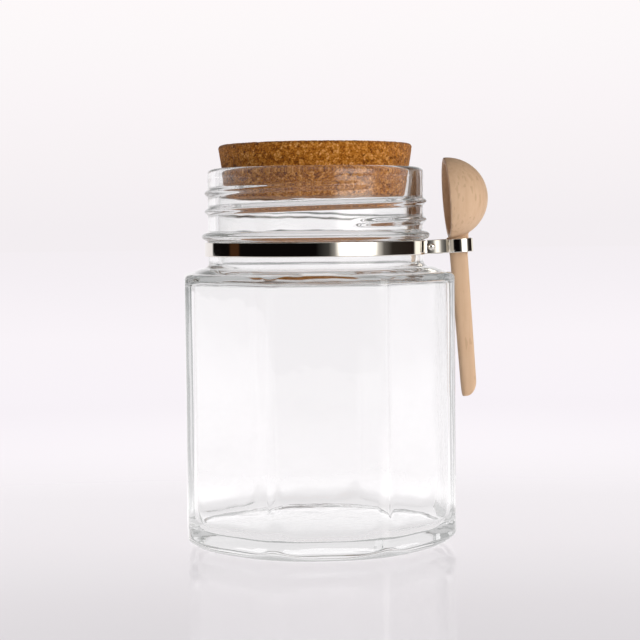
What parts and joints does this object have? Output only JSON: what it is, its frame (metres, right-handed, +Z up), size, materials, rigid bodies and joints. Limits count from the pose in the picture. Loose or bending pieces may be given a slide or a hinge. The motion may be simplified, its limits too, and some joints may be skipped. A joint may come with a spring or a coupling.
{
  "type": "glass jar with cork stopper and wooden spoon",
  "caption": "Clear octagonal glass storage jar with a screw neck, a pressed cork stopper, a polished steel neck band and a small wooden spoon held in its ring.",
  "frame": {"origin": "centre of the jar's flat base, on the axis of its neck", "axes": "+Z up along the jar's axis, +X towards the side with the spoon and its ring, -Y towards the viewer"},
  "size_m": [0.0977, 0.0856, 0.1249],
  "materials": {
    "glass": "clear, polished",
    "cork": "matte pressed cork",
    "steel": "polished",
    "wood": "plain sanded, uncoated"
  },
  "bodies": {
    "root": {"jar": "glass", "stopper": "cork", "neck_band": "steel", "spoon_holder": "steel", "rivet": "steel", "spoon": "wood"}
  },
  "joints": []
}
